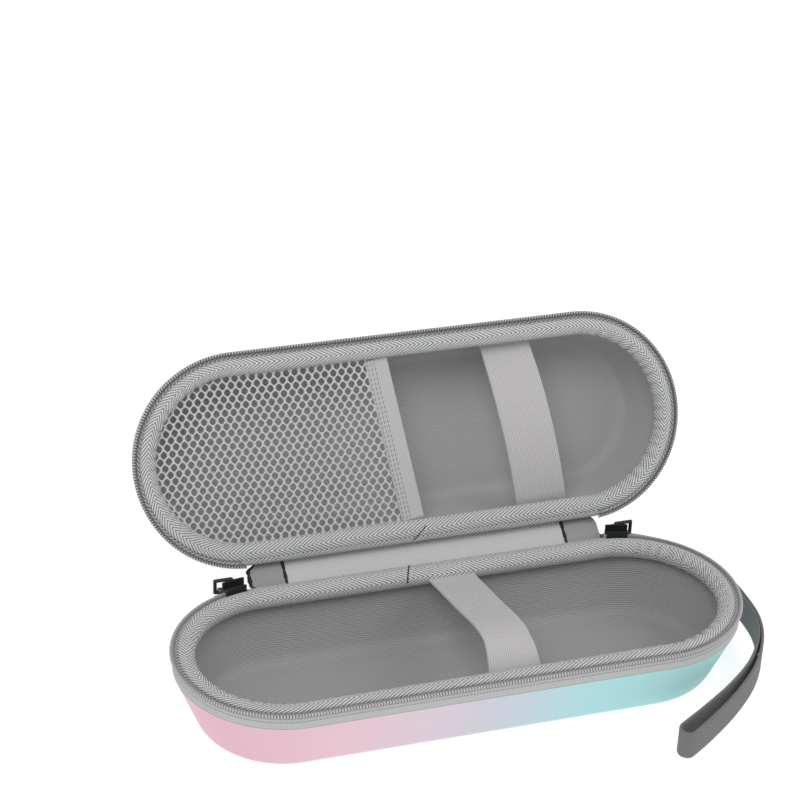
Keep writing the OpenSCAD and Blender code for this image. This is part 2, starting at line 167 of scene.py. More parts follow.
def add_mesh(name, verts, faces, uv, material, crease=None):
    """A mesh object with closed seams and its faces outward, at the origin."""
    mesh = bpy.data.meshes.new(name)
    mesh.from_pydata(np.asarray(verts).tolist(), [], faces)
    if uv is not None:
        layer = mesh.uv_layers.new(name="UVMap")
        layer.data.foreach_set("uv", np.asarray(uv, np.float32).ravel())
    bm = bmesh.new()
    bm.from_mesh(mesh)
    bmesh.ops.remove_doubles(bm, verts=bm.verts, dist=SEAM_GAP)
    bmesh.ops.dissolve_degenerate(bm, edges=bm.edges, dist=LEAST_EDGE)
    bmesh.ops.recalc_face_normals(bm, faces=bm.faces)
    bm.to_mesh(mesh)
    bm.free()
    mesh.shade_smooth()
    if crease is not None:
        mesh.set_sharp_from_angle(angle=np.radians(crease))
    mesh.materials.append(material)
    obj = bpy.data.objects.new(name, mesh)
    bpy.context.scene.collection.objects.link(obj)
    return obj


def add_grid(name, points, material, uv, loop, ends=False, crease=None):
    """A mesh from a grid of points; loop joins its edges and ends closes a tube."""
    n, m = points.shape[:2]
    i, j = np.meshgrid(np.arange(n - 1 + loop[0]), np.arange(m - 1 + loop[1]), indexing="ij")
    i = i.ravel()
    j = j.ravel()
    corners = [(i, j), (i + 1, j), (i + 1, j + 1), (i, j + 1)]
    faces = np.stack([(a % n) * m + b % m for a, b in corners], axis=-1).tolist()
    flat = np.stack([uv[a, b] for a, b in corners], axis=1).reshape(-1, 2)
    if ends:
        faces += [list(range(m)), [(n - 1) * m + q for q in range(m)]]
        flat = np.vstack([flat, uv[0, :m], uv[n - 1, :m]])
    return add_mesh(name, points.reshape(-1, 3), faces, flat, material, crease)


def add_tube(name, points, material, uv, crease=None):
    """A closed bar from the points of its section at each step along it."""
    return add_grid(name, points, material, uv, (False, True), True, crease)


def chart(u, v):
    """Pattern coordinates in millimetres for a grid: u down it and v across it."""
    a, b = np.meshgrid(u, v, indexing="ij")
    return np.stack([a, b], axis=-1)


def strip_section(width, thick, columns):
    """Closed section of a flat strip with half-round edges: (across, out) pairs."""
    e = thick / 2
    a = np.radians(np.linspace(90, -90, 6))
    edge = np.stack([width / 2 - e + e * np.cos(a), e * np.sin(a)], axis=1)
    top = np.linspace(-width / 2 + e, width / 2 - e, columns)[1:-1]
    upper = np.stack([top, np.full(len(top), e)], axis=1)
    return np.vstack([upper, edge, -upper, -edge])


def ribbon(path, across, width, thick, columns, flare=1.0):
    """Points and pattern coordinates of a strip that follows a path."""
    across = np.broadcast_to(np.asarray(across, float), path.shape)
    out = np.cross(directions(path), across)
    section = strip_section(width, thick, columns)
    wide = across * np.broadcast_to(flare, len(path))[:, None]
    points = (path[:, None] + wide[:, None] * section[None, :, :1]
              + out[:, None] * section[None, :, 1:])
    return points, chart(lengths(path), lengths(section, closed=True))


def add_strip(name, body, material, path, across, width, thick, columns, flare=1.0):
    """A flat strip that follows a path of the closed case, placed with its body."""
    points, uv = ribbon(path, across, width, thick, columns, flare)
    return add_tube(name, place(points, body), material, uv)


def thicken(obj, name, thick):
    """Gives a sheet its thickness, half to each side."""
    modifier = obj.modifiers.new(name, "SOLIDIFY")
    modifier.thickness = thick * MM
    modifier.offset = 0


def shown(obj, body, *replaced):
    """Ties a finished piece to its body and hides the solids it stands for."""
    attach(obj, body)
    if replaced:
        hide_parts(*replaced)
    return obj


# Shader effects

class Tree:
    """Adds shader nodes to one node tree and links them."""

    def __init__(self, tree):
        self.tree = tree

    def feed(self, socket, value):
        """Links another node's output to a socket, or sets the socket to a plain value."""
        if isinstance(value, bpy.types.NodeSocket):
            self.tree.links.new(value, socket)
        else:
            socket.default_value = value

    def math(self, operation, *inputs):
        """The result of a math node."""
        made = self.tree.nodes.new("ShaderNodeMath")
        made.operation = operation
        for socket, value in zip(made.inputs, inputs):
            self.feed(socket, value)
        return made.outputs[0]

    def mix(self, factor, a, b):
        """A colour between a and b. The sockets are the node's colour ones."""
        made = self.tree.nodes.new("ShaderNodeMix")
        made.data_type = "RGBA"
        for socket, value in ((0, factor), (6, a), (7, b)):
            self.feed(made.inputs[socket], value)
        return made.outputs[2]

    def noise(self, vector, scale, detail):
        """Soft noise from 0 to 1 over a vector."""
        made = self.tree.nodes.new("ShaderNodeTexNoise")
        self.tree.links.new(vector, made.inputs["Vector"])
        made.inputs["Scale"].default_value = scale
        made.inputs["Detail"].default_value = detail
        return made.outputs["Fac"]

    def wave(self, value, pitch):
        """A smooth wave from 0 to 1 that repeats each pitch."""
        turns = self.math("MULTIPLY", value, 2 * np.pi / pitch)
        return self.math("MULTIPLY_ADD", self.math("COSINE", turns), 0.5, 0.5)

    def split(self, vector):
        """The three numbers of a vector."""
        made = self.tree.nodes.new("ShaderNodeSeparateXYZ")
        self.tree.links.new(vector, made.inputs[0])
        return made.outputs

    def pattern(self):
        """The two pattern coordinates in millimetres, and both of them as a vector."""
        vector = self.tree.nodes.new("ShaderNodeUVMap").outputs[0]
        u, v, _ = self.split(vector)
        return u, v, vector

    def where(self):
        """Place on the object, in metres."""
        return self.tree.nodes.new("ShaderNodeTexCoord").outputs["Object"]


def effect(name, *inputs):
    """Starts a shared node group: the group, its node maker, its inputs and its output."""
    group = bpy.data.node_groups.new(name, "ShaderNodeTree")
    for socket in inputs:
        group.interface.new_socket(socket, in_out="INPUT", socket_type="NodeSocketFloat")
    group.interface.new_socket("Value", in_out="OUTPUT", socket_type="NodeSocketFloat")
    enter = group.nodes.new("NodeGroupInput")
    leave = group.nodes.new("NodeGroupOutput")
    return group, Tree(group), [enter.outputs[k] for k in range(len(inputs))], leave.inputs[0]


def herringbone_group():
    """Slanted ribs that turn back at each band's edge, crossed by finer threads."""
    group, t, (u, v, band, pitch), leave = effect("herringbone", "U", "V", "Band", "Pitch")
    rib_slope, rib_share = 1.6, 0.72
    thread_slope, thread_share, thread_pitch = -0.62, 0.3, 0.7
    fold = t.math("PINGPONG", v, band)
    slant = t.math("MULTIPLY_ADD", fold, rib_slope, u)
    rib = t.wave(t.math("DIVIDE", slant, pitch), 1.0)
    sharp = t.math("SMOOTH_MIN", t.math("MULTIPLY", rib, 1.5), 1.0, 0.3)
    thread = t.wave(t.math("MULTIPLY_ADD", fold, thread_slope, u), thread_pitch)
    both = t.math("MULTIPLY_ADD", thread, thread_share, t.math("MULTIPLY", sharp, rib_share))
    group.links.new(both, leave)
    return group


def weave_group():
    """Plain weave: warp and weft threads that rise in turn."""
    group, t, (u, v, pitch), leave = effect("weave", "U", "V", "Pitch")
    warp = t.math("SINE", t.math("MULTIPLY", t.math("DIVIDE", u, pitch), np.pi))
    weft = t.math("SINE", t.math("MULTIPLY", t.math("DIVIDE", v, pitch), np.pi))
    both = t.math("MULTIPLY", warp, weft)
    group.links.new(t.math("MULTIPLY_ADD", both, 0.5, 0.5), leave)
    return group


def stitch_group():
    """One row of stitches: short dashes along U at V = Row."""
    group, t, (u, v, row, pitch), leave = effect("stitches", "U", "V", "Row", "Pitch")
    half_width, gap = 0.42, 0.35
    away = t.math("DIVIDE", t.math("ABSOLUTE", t.math("SUBTRACT", v, row)), half_width)
    near = t.math("SUBTRACT", 1.0, t.math("SMOOTH_MIN", away, 1.0, 0.2))
    dash = t.wave(t.math("DIVIDE", u, pitch), 1.0)
    group.links.new(t.math("MULTIPLY", near, t.math("GREATER_THAN", dash, gap)), leave)
    return group


EFFECTS = {
    "herringbone": herringbone_group(),
    "weave": weave_group(),
    "stitches": stitch_group(),
}


def use(t, name, *inputs):
    """The value of a shared effect in this material."""
    made = t.tree.nodes.new("ShaderNodeGroup")
    made.node_tree = EFFECTS[name]
    for socket, value in zip(made.inputs, inputs):
        t.feed(socket, value)
    return made.outputs[0]


# Materials

def srgb(code):
    """A hex colour as linear RGBA."""
    c = np.array([int(code[k:k + 2], 16) for k in (0, 2, 4)]) / 255
    lin = np.where(c <= 0.04045, c / 12.92, ((c + 0.055) / 1.055) ** 2.4)
    return (*lin.tolist(), 1.0)


def new_material(name, roughness, sheen=0.0, metallic=0.0, specular=0.5):
    """An empty material: the material, its node maker and its Principled shader."""
    material = bpy.data.materials.new(name)
    material.use_nodes = True
    shader = material.node_tree.nodes["Principled BSDF"]
    shader.inputs["Roughness"].default_value = roughness
    shader.inputs["Metallic"].default_value = metallic
    shader.inputs["Sheen Weight"].default_value = sheen
    shader.inputs["Specular IOR Level"].default_value = specular
    return material, Tree(material.node_tree), shader


def new_fabric(name, roughness=0.88):
    """An empty material with the soft edge light of cloth."""
    return new_material(name, roughness, sheen=0.1, specular=0.2)


def bump(t, shader, height, depth):
    """Feeds a height of 0 to 1, as deep as depth in millimetres, to the shader's normal."""
    made = t.tree.nodes.new("ShaderNodeBump")
    made.inputs["Strength"].default_value = 1.0
    made.inputs["Distance"].default_value = depth * MM
    t.tree.links.new(height, made.inputs["Height"])
    t.tree.links.new(made.outputs[0], shader.inputs["Normal"])


def speckled(t, value, vector, scale, detail, spread):
    """A value with soft noise added, so that a fabric isn't all one tone."""
    speck = t.noise(vector, scale, detail)
    return t.math("ADD", value, t.math("MULTIPLY_ADD", speck, spread, -spread / 2))


def stitched(t, u, v, color, height, row, pitch, code):
    """Colour and height of a fabric with one row of stitches sewn into it."""
    stitch = use(t, "stitches", u, v, row, pitch)
    return t.mix(stitch, color, srgb(code)), t.math("SUBTRACT", height, stitch)


def film():
    """Matt cover film, pink at the left end and pale aqua at the right."""
    material, t, shader = new_material("cover_film", 0.42, specular=0.35)
    where = t.where()
    along = t.math("MULTIPLY_ADD", t.split(where)[0], 1 / (CASE_L * MM), 0.5)
    ramp = t.tree.nodes.new("ShaderNodeValToRGB")
    stops = [(-115, "D8AAB8"), (-60, "DDBBC7"), (-25, "D2C2CD"), (-5, "C6C4CF"),
             (15, "B9CAD5"), (38, "A6D4D7"), (115, "A0D6D7")]
    while len(ramp.color_ramp.elements) < len(stops):
        ramp.color_ramp.elements.new(0.5)
    for element, (x, code) in zip(ramp.color_ramp.elements, stops):
        element.position = x / CASE_L + 0.5
        element.color = srgb(code)
    t.tree.links.new(along, ramp.inputs[0])
    t.tree.links.new(ramp.outputs[0], shader.inputs["Base Color"])
    grain_scale, grain_depth = 2600, 0.03
    bump(t, shader, t.noise(where, grain_scale, 2), grain_depth)
    return material


def herringbone(name, dark, light, band, pitch, depth=0.3):
    """Herringbone webbing in two tones, with ribs that turn back after each band."""
    material, t, shader = new_fabric(name, 0.85)
    u, v, vector = t.pattern()
    rib = use(t, "herringbone", u, v, band, pitch)
    tone = speckled(t, rib, vector, scale=1.6, detail=3, spread=0.7)
    t.tree.links.new(t.mix(tone, srgb(dark), srgb(light)), shader.inputs["Base Color"])
    bump(t, shader, rib, depth)
    return material


def woven(name, dark, light, pitch, stitches=None, edge=None):
    """Plain-woven tape in two tones.

    stitches is one row of them: its place, pitch and colour. Up to edge, the tape is dark.
    """
    material, t, shader = new_fabric(name)
    u, v, vector = t.pattern()
    height = use(t, "weave", u, v, pitch)
    tone = speckled(t, height, vector, scale=2.5, detail=2, spread=0.5)
    color = t.mix(tone, srgb(dark), srgb(light))
    if stitches is not None:
        color, height = stitched(t, u, v, color, height, *stitches)
    if edge is not None:
        color = t.mix(t.math("LESS_THAN", v, edge), color, srgb(dark))
    t.tree.links.new(color, shader.inputs["Base Color"])
    bump(t, shader, height, depth=0.12)
    return material


def ribbed(name, dark, light, pitch, depth, stitch_rows=()):
    """Fabric with fine ribs along U, and rows of stitches if asked."""
    material, t, shader = new_fabric(name)
    u, v, vector = t.pattern()
    height = t.wave(v, pitch)
    tone = speckled(t, height, vector, scale=2.0, detail=2, spread=0.6)
    color = t.mix(tone, srgb(dark), srgb(light))
    for row in stitch_rows:
        color, height = stitched(t, u, v, color, height, row, pitch=2.0, code="848484")
    t.tree.links.new(color, shader.inputs["Base Color"])
    bump(t, shader, height, depth)
    return material


def plain(name, color, roughness, metallic=0.0, grain=0.03, specular=0.5):
    """One colour with a fine grain, for metal, rubber and the teeth of the zip."""
    material, t, shader = new_material(name, roughness, metallic=metallic, specular=specular)
    shader.inputs["Base Color"].default_value = srgb(color)
    grain_scale, uneven = 1800, 0.24
    speck = t.noise(t.where(), grain_scale, 3)
    spread = t.math("MULTIPLY_ADD", speck, uneven, roughness - uneven / 2)
    t.tree.links.new(spread, shader.inputs["Roughness"])
    bump(t, shader, speck, grain)
    return material


FILM = film()
BINDING = herringbone("binding_webbing", "5E6060", "DADCDB", 4.4, 1.95)
TAPE = woven("zip_tape", "A4A6A5", "C2C5C4", 0.55, stitches=(3.3, 1.25, "7A7A7A"), edge=0.45)
LINING = ribbed("lining_fabric", "8A8A8A", "A6A6A6", 0.9, depth=0.1)
LID_LINING = ribbed("lid_lining_fabric", "A4A4A4", "ACACAC", 0.9, depth=0.04)
ELASTIC = ribbed("ribbed_elastic", "AAA8A8", "C0BEBE", 0.85, depth=0.08)
BAND = ribbed("pocket_band_elastic", "ABA9A9", "C0BEBE", 0.85, depth=0.08,
              stitch_rows=(14.9, 16.3, 17.7))
NET = woven("net_yarn", "B2B2B2", "D0D0D0", 0.35)
SPINE_LINING = woven("spine_lining_fabric", "B4B4B4", "CACACA", 0.5)
GARAGE = woven("zip_end_cover", "8A8A8A", "A2A2A2", 0.5)
# One black for the real stitching and for the painted shadow strip along the top of each zip-end
# cover.
BLACK_STITCH_AND_SHADE = woven("black_stitching_and_painted_shade", "141414", "3A3A3A", 0.7)
TAB = woven("tab_webbing", "2C2E30", "5C6063", 0.8)
WRIST = herringbone("wrist_webbing", "403F3F", "8A8989", 3.0, 1.0, depth=0.15)
TOOTH = plain("zip_tooth", "B6B6B6", 0.5, specular=0.4)
CORE = {"lid": woven("zip_core", "3A3A3A", "747474", 0.6),
        "base": woven("zip_core_pale", "646464", "9A9A9A", 0.6)}
BLACK_METAL = plain("black_painted_metal", "2B2F30", 0.38, metallic=0.55, grain=0.01)
DARK_METAL = plain("grey_painted_metal", "5A6060", 0.35, metallic=0.7, grain=0.01)
RUBBER = plain("pull_rubber", "4C5756", 0.6, grain=0.05, specular=0.4)
STEEL = plain("plated_wire", "DADADC", 0.18, metallic=1.0, grain=0.005)


# Fabric parts of the two halves

def around(step):
    """Distances along the whole outline, about a step apart and alike on facing sides."""
    straight = np.linspace(0, BACK, int(BACK / step), endpoint=False)
    bend = np.linspace(0, ROUND, int(ROUND / step), endpoint=False)
    return np.concatenate([straight, BACK + bend, BACK + ROUND + straight,
                           2 * BACK + ROUND + bend])


def zip_run(body, step=1.2):
    """Distances along the outline where the zip of a half runs."""
    first = BACK + ZIP_RIGHT * END_R
    last = TOTAL - ZIP_LEFT[body] * END_R
    return np.linspace(first, last, int((last - first) / step))


SHARP = 50
ROLL_STEP = 0.9
ROLL_IN = 9.4
GATHERED = {"base": 3.0, "lid": 1.8}


def puckers(s, profile, gathered):
    """Height of the puckers over the roll of the binding: dents in its inner side only.

    They are deepest round the right end, by the given factor, and faint on the straights.
    """
    faint, crest, depth = 0.25, 0.3, 0.3
    at = np.mod(s, BACK + ROUND) - BACK
    bunch = np.sqrt(np.sin(np.pi * np.clip(at / ROUND, 0, 1)))
    bunch *= np.where(s < BACK + ROUND, gathered, 1.0)
    bunch += faint
    crease = np.sin(2 * np.pi * s / 5.3 + 1.7 * np.sin(s / 6.3))
    crease += 0.6 * np.sin(2 * np.pi * s / 2.9 + 2.1 * np.cos(s / 4.7))
    crease = np.minimum(crease, crest)
    inner = np.clip((profile[:, 0] - 5.0) / 3.0, 0, 1) * (profile[:, 1] > -6.0)
    return depth * bunch[:, None] * (crease[:, None] - crest) * inner[None, :]


def binding(body):
    """Padded roll of herringbone webbing round the opening's edge."""
    corners = [(2.8, -2.2), (2.55, -1.6), (2.75, -0.9), (3.5, -0.42), (4.9, -0.2), (6.6, -0.35),
               (8.1, -1.05), (9.1, -2.3), (ROLL_IN, -3.7), (9.15, -5.2), (8.3, -6.5),
               (6.8, -6.95), (4.2, -6.9), (3.4, -4.4), (3.1, -2.9)]
    profile = curve(corners, 44, closed=True)
    s = around(ROLL_STEP)
    dent = puckers(s, profile, GATHERED[body])
    sideways = 0.8 * dent
    _, nx, ny = outline(s)
    grid = sweep(s, profile + [0, RIM])
    grid[..., 2] += dent
    grid[..., 0] -= sideways * nx[:, None]
    grid[..., 1] -= sideways * ny[:, None]
    # The weave wanders a little along the roll, and bunches where it is puckered.
    u = np.append(s, TOTAL)
    v = lengths(profile, closed=True)
    uv = chart(u, v)
    uv[:, :-1, 1] += 0.35 * np.sin(u / 9.0)[:, None]
    uv[..., 0] += 0.3 * np.sin(u / 3.7)[:, None] * np.sin(v / 2.2)[None, :]
    uv[..., 1] += 0.5 * np.pad(dent, ((0, 1), (0, 1)), mode="wrap")
    obj = add_grid(f"{body}_binding_webbing", place(grid, body), BINDING, uv, (True, True))
    return shown(obj, body, f"{body}_binding")


def binding_edge(body):
    """Edge of the binding turned under, flat between the coil and the roll."""
    section = np.array([(1.1, -1.95), (3.3, -1.95), (3.3, -2.45), (1.1, -2.45)])
    weave_start = 1.3
    s = around(ROLL_STEP)
    uv = chart(np.append(s, TOTAL), lengths(section, closed=True) - weave_start)
    points = place(sweep(s, section + [0, RIM]), body)
    obj = add_grid(f"{body}_binding_edge", points, BINDING, uv, (True, True), crease=SHARP)
    return shown(obj, body)


def seam(body, outer_x, inner_x, reach):
    """Stitched joint where the ends of the binding meet, across the roll at the hinge side."""
    over = [(1.5, -0.85), (3.2, -0.28), (4.9, -0.1), (6.6, -0.25), (8.1, -0.95), (9.1, -2.2),
            (9.5, -3.7)]
    line = curve(over, 30)
    line = line[line[:, 0] < reach]
    x = outer_x + (inner_x - outer_x) * line[:, 0] / ROLL_IN
    path = np.stack([x, END_R - line[:, 0], RIM + line[:, 1]], axis=1)
    obj = add_strip(f"{body}_binding_seam", body, BLACK_STITCH_AND_SHADE, path, [1, 0, 0],
                    width=0.55, thick=0.35, columns=4)
    return shown(obj, body)


def lining(body):
    """Lining pressed to the inside of a half, from under the binding to the middle line."""
    depth, tucked, thick = 3.4, 6.2, 0.5
    c = np.cos(WALL_LEAN)
    r = FOOT_R - depth
    foot = WALL_IN + (LIP - FOOT_R) * np.tan(WALL_LEAN) + FOOT_R / c
    wall_top = WALL_IN + depth / c
    wall = [(wall_top, RIM - tucked), (wall_top, LIP)]
    bend = np.linspace(-WALL_LEAN, -np.pi / 2, 8)
    corner = [(foot - r * np.cos(a), FOOT_R + r * np.sin(a)) for a in bend]
    flat = [(foot + (END_R - foot) * k / 10, depth) for k in range(1, 11)]
    profile = np.array(wall + corner + flat)
    along = around(1.8)
    uv = chart(np.append(along, TOTAL), lengths(profile))
    points = place(sweep(along, profile), body)
    material = LINING if body == "base" else LID_LINING
    obj = add_grid(f"{body}_lining_fabric", points, material, uv, (True, False), crease=60)
    thicken(obj, "thickness", thick)
    return shown(obj, body, f"{body}_lining")


def zip_tape(body):
    """Outer tape of the zip, with its upper edge turned in at the coil."""
    outer = [(0.4, -TAPE_H), (0.36, -5.0), (0.38, -1.85), (0.5, -1.25), (1.25, -1.25)]
    inner = [(1.25, -2.05), (1.0, -2.25), (1.0, -5.0), (1.0, -TAPE_H)]
    profile = np.array(outer + inner) + [0, RIM]
    s = zip_run(body)
    uv = chart(s, lengths(profile, closed=True))
    obj = add_tube(f"{body}_outer_tape", place(sweep(s, profile), body), TAPE, uv, crease=SHARP)
    return shown(obj, body, f"{body}_zip_tape")


def facing(body):
    """Webbing carried over the edge on the hinge side, where there is no zip."""
    outer = [(0.4, -TAPE_H), (0.36, -4.5), (0.4, -2.6), (0.7, -1.6), (1.5, -1.0), (2.85, -0.75)]
    inner = [(2.85, -1.5), (1.5, -1.7), (1.0, -2.6), (1.0, -TAPE_H)]
    profile = np.array(outer + inner) + [0, RIM]
    past = 4.2
    s = np.linspace(-past, BACK + past, 120)
    weave_start = lengths(np.array(outer))[-1] + 1.6
    uv = chart(s, lengths(profile, closed=True) - weave_start)
    points = place(sweep(s, profile), body)
    obj = add_tube(f"{body}_facing_fabric", points, BINDING, uv, crease=SHARP)
    return shown(obj, body, f"{body}_hinge_facing")


def coil_core(body):
    """Core that the teeth of the zip's coil go round, darker in the lid."""
    section = np.array([(-0.2, -0.85), (0.3, -0.68), (1.3, -0.62), (1.3, -1.3), (1.0, -2.0),
                        (0.4, -2.25), (-0.05, -2.25), (-0.2, -1.8)]) + [0, RIM]
    s = zip_run(body)
    uv = chart(s, lengths(section, closed=True))
    obj = add_tube(f"{body}_coil_core", place(sweep(s, section), body), CORE[body], uv)
    return shown(obj, body)


def coil_teeth(body):
    """Row of coil teeth along the zip: each tooth is a small slanted loop of round wire."""
    pitch, slant = 1.15, 0.2
    radius, stretch, sides = 0.29, 1.25, 6
    path = np.array([(-0.26, -1.5), (-0.26, -1.0), (-0.08, -0.84), (0.56, -0.84),
                     (0.74, -1.0), (0.74, -1.5), (0.56, -1.66), (-0.08, -1.66)])
    turn = np.linspace(0, 2 * np.pi, sides, endpoint=False)
    middle = path.mean(axis=0)
    outward = path - middle
    outward /= np.linalg.norm(outward, axis=1)[:, None]
    section = path[:, None, :] + outward[:, None, :] * (radius * np.cos(turn))[None, :, None]
    shift = (radius * stretch * np.sin(turn))[None, :] + ((path[:, :1] - middle[0]) * slant)
    s = zip_run(body, pitch)
    x, nx, ny = outline(s[:, None, None] + shift[None])
    r = END_R - section[None, ..., 0]
    z = np.broadcast_to(section[None, ..., 1] + RIM, x.shape)
    points = place(np.stack([x + nx * r, ny * r, z], axis=-1), body)
    rows = len(path)
    k, i, j = np.meshgrid(np.arange(len(s)), np.arange(rows), np.arange(sides), indexing="ij")
    i2 = (i + 1) % rows
    j2 = (j + 1) % sides
    first = k * rows * sides
    corners = ((i, j), (i2, j), (i2, j2), (i, j2))
    faces = np.stack([first + a * sides + b for a, b in corners], axis=-1).reshape(-1, 4)
    obj = add_mesh(f"{body}_coil_teeth", points.reshape(-1, 3), faces.tolist(), None, TOOTH)
    return shown(obj, body, f"{body}_zip_coil")


# Straps and pocket

STRAP_W = 19.5
STRAP_T = 1.2
BULGE = [(37.0, 28.6), (35.6, 29.3), (34.0, 29.8), (27.0, 31.1), (19.0, 32.8), (4.0, 35.7),
         (-6.0, 38.0), (-14.0, 39.6), (-20.0, 39.9), (-25.5, 38.5), (-29.5, 35.4), (-32.5, 31.0),
         (-34.5, 26.0), (-37.0, 21.2)]


def base_strap():
    """Elastic strap of the lower half, keeping the bulge of the handle it holds."""
    middle_x, lean = 8.75, 0.056
    side = curve(BULGE, 90)
    y = side[:, 0]
    path = np.stack([middle_x - lean * y, y, side[:, 1]], axis=1)
    flare = np.interp(-y, [-34, 5, 24, 34], [1.0, 0.97, 0.96, 1.1])
    obj = add_strip("base_elastic", "base", ELASTIC, path, [1, 0, 0],
                    STRAP_W, STRAP_T, columns=16, flare=flare)
    return shown(obj, "base", "base_strap")


def lid_strap():
    """Elastic strap of the lid, stretched nearly straight across it."""
    low, rise, drop, half = 22.3, 31.6, 0.6, 37.0
    middle_x, slant = 49.0, np.radians(8.6)
    r = (END_R ** 2 + (rise - low) ** 2) / (2 * (rise - low))
    y = np.linspace(-half, half, 60)
    z = rise - r + np.sqrt(r ** 2 - y ** 2) - drop
    path = np.stack([middle_x + y * np.sin(slant), y * np.cos(slant), z], axis=1)
    across = [np.cos(slant), -np.sin(slant), 0]
    # It is drawn narrow at its front end and spread at the hinge side.
    flare = 1.12 - 0.07 * (y / half) ** 2 + 0.09 * np.clip(y / half, 0, 1) ** 2
    obj = add_strip("lid_elastic", "lid", ELASTIC, path, across,
                    STRAP_W, STRAP_T, columns=16, flare=flare)
    return shown(obj, "lid", "lid_strap")


BAND_X = -7.4
BAND_W = 9.6
BAND_T = 1.3
BAND_SLANT = np.radians(8.0)
NET_DEPTH = 4.25
NET_R = END_R - 8.9
NET_PITCH = 3.5
NET_ROW = 2.7
YARN = 0.45


def pocket_band():
    """Elastic band along the mouth of the net pocket."""
    reach = 33.6 / np.cos(BAND_SLANT)
    v = np.linspace(-reach, reach, 60)
    path = np.stack([BAND_X + v * np.sin(BAND_SLANT), v * np.cos(BAND_SLANT),
                     np.full(len(v), RIM - NET_DEPTH)], axis=1)
    across = [np.cos(BAND_SLANT), -np.sin(BAND_SLANT), 0]
    obj = add_strip("pocket_elastic", "lid", BAND, path, across, BAND_W, BAND_T, columns=14)
    return shown(obj, "lid", "pocket_band")


def net_cell():
    """Outlines of one cell of the net and of the rounded diamond hole in it."""
    hole_x, hole_y, square = 1.34, 1.58, 1.5
    side, tip, low = NET_PITCH / 2, NET_ROW * 0.71, NET_ROW * 0.29
    corners = np.array([(side, 0), (side, low), (side / 2, NET_ROW / 2), (0, tip)])
    mirrored = corners[[2, 1, 0]] * [-1, 1]
    ring = np.vstack([corners, mirrored, (corners * -1)[1:], -mirrored[:-1]])
    away = ring / np.linalg.norm(ring, axis=1)[:, None]
    reach = np.abs(away[:, 0] / hole_x) ** square + np.abs(away[:, 1] / hole_y) ** square
    hole = away * (reach ** (-1 / square))[:, None]
    return ring, hole


def net_cut(px, py, inset):
    """Moves points that lie outside the pocket to its edge, or further in by the inset."""
    limit = NET_R - inset
    mid = np.maximum(-END_X, np.minimum(px, END_X))
    gone = np.hypot(px - mid, py)
    scale = np.where(gone > limit, limit / np.maximum(gone, 1e-6), 1.0)
    px = mid + (px - mid) * scale
    py = py * scale
    c, s = np.cos(BAND_SLANT), np.sin(BAND_SLANT)
    under_band = 1.0
    over = (px - BAND_X) * c - py * s + BAND_W / 2 - under_band + inset
    over = np.maximum(over, 0)
    return px - over * c, py + over * s


def pocket_net():
    """Knitted net with rounded diamond holes, cut to the opening and the band."""
    ring, hole = net_cell()
    columns, rows, hole_inset = np.arange(-32, 4), np.arange(-14, 15), 0.5
    i, j = np.meshgrid(columns, rows, indexing="ij")
    x = (BAND_X + (i + 0.5 * (j % 2)) * NET_PITCH).ravel()
    y = (j * NET_ROW).ravel()
    ox, oy = net_cut(x[:, None] + ring[:, 0], y[:, None] + ring[:, 1], 0.0)
    hx, hy = net_cut(x[:, None] + hole[:, 0], y[:, None] + hole[:, 1], hole_inset)
    cx, cy = net_cut(x, y, 0.0)
    inside = np.hypot(cx - x, cy - y) < NET_PITCH * 0.5
    outer = np.stack([ox, oy], axis=-1)[inside]
    inner = np.stack([hx, hy], axis=-1)[inside]
    flat = np.stack([outer, inner], axis=1).reshape(-1, 2)
    # The net sags a little and is drawn uneven, most of all at the band.
    sag = 0.5 * np.sin(flat[:, 0] / 19.0) * np.sin(flat[:, 1] / 13.0)
    pull = 0.35 * np.exp((flat[:, 0] - BAND_X) / 9.0) * np.sin(flat[:, 1] / 4.1)
    verts = np.stack([flat[:, 0] + pull, flat[:, 1] + 0.3 * np.sin(flat[:, 0] / 11.0),
                      RIM - NET_DEPTH + sag], axis=1)
    sides = len(ring)
    k, q = np.meshgrid(np.arange(inside.sum()), np.arange(sides), indexing="ij")
    q2 = (q + 1) % sides
    first = k * 2 * sides
    second = first + sides
    faces = np.stack([first + q, first + q2, second + q2, second + q], axis=-1).reshape(-1, 4)
    uv = flat[faces].reshape(-1, 2)
    obj = add_mesh("pocket_netting", place(verts, "lid"), faces.tolist(), uv, NET)
    thicken(obj, "yarn", YARN)
    shown(obj, "lid", "pocket_net")
    return obj


# Spine

def spine_skin(name, hem_body, hem):
    """Outer cover of the spine on one fold: from the sewn hem, over the fold, to the middle."""
    outer_y, bend = FOLD_Y + 0.35, 2.0
    drop = np.array([(outer_y - 3.1, FOLD_LOW - 7.4), (outer_y - 1.9, FOLD_LOW - 5.0),
                     (outer_y - 0.7, FOLD_LOW - 2.4), (outer_y, FOLD_LOW - 0.9)])
    rise = np.array([(outer_y, FOLD_LOW + 0.9), (outer_y, FOLD_LOW + 3.2), (outer_y, RIM)])
    above = np.array([(FOLD_Y, FOLD_LOW + bend)])
    if hem_body == "lid":
        rise = rise * [1, -1] + [0, 2 * RIM]
        above = above * [1, -1] + [0, 2 * RIM]

    def carried(points, body):
        full = np.stack([np.zeros(len(points)), points[:, 0], points[:, 1]], axis=1)
        return place(full, body)

    path = curve(np.vstack([carried(drop, hem_body), carried(rise, "spine")]) / MM, 40)
    points, uv = ribbon(path, [1, 0, 0], SPINE_L - 0.6, thick=0.8, columns=40)
    obj = add_tube(name, points * MM, FILM, uv)
    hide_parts(hem, "spine_cover")
    if hem_body == "base":
        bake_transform(obj)
    else:
        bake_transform(obj)
    return obj


def upright(x, y, low, high, count):
    """A path that rises from low to high at one place."""
    return np.stack([np.full(count, x), np.full(count, y), np.linspace(low, high, count)], axis=1)


